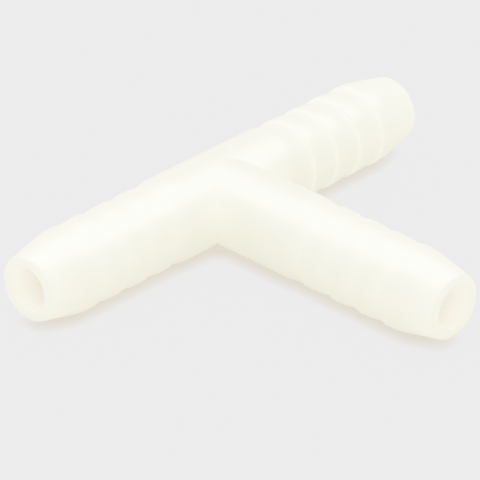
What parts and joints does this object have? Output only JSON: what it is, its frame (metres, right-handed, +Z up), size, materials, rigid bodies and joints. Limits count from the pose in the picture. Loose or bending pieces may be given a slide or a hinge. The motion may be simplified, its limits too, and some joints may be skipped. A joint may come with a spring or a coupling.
{
  "type": "barbed tee connector",
  "caption": "Moulded barbed tee that joins hoses: an in-line run and a square branch, each with a tapered nose and shallow hose-gripping ridges round a through bore.",
  "frame": {"origin": "on the resting plane, under the middle of the bounding box", "axes": "+X along the run, -Y out along the branch, +Z up with the fitting lying flat"},
  "size_m": [0.0792, 0.0536, 0.0133],
  "materials": {
    "natural_polymer": "satin"
  },
  "bodies": {
    "root": {"tee_body": "natural_polymer"}
  },
  "joints": []
}
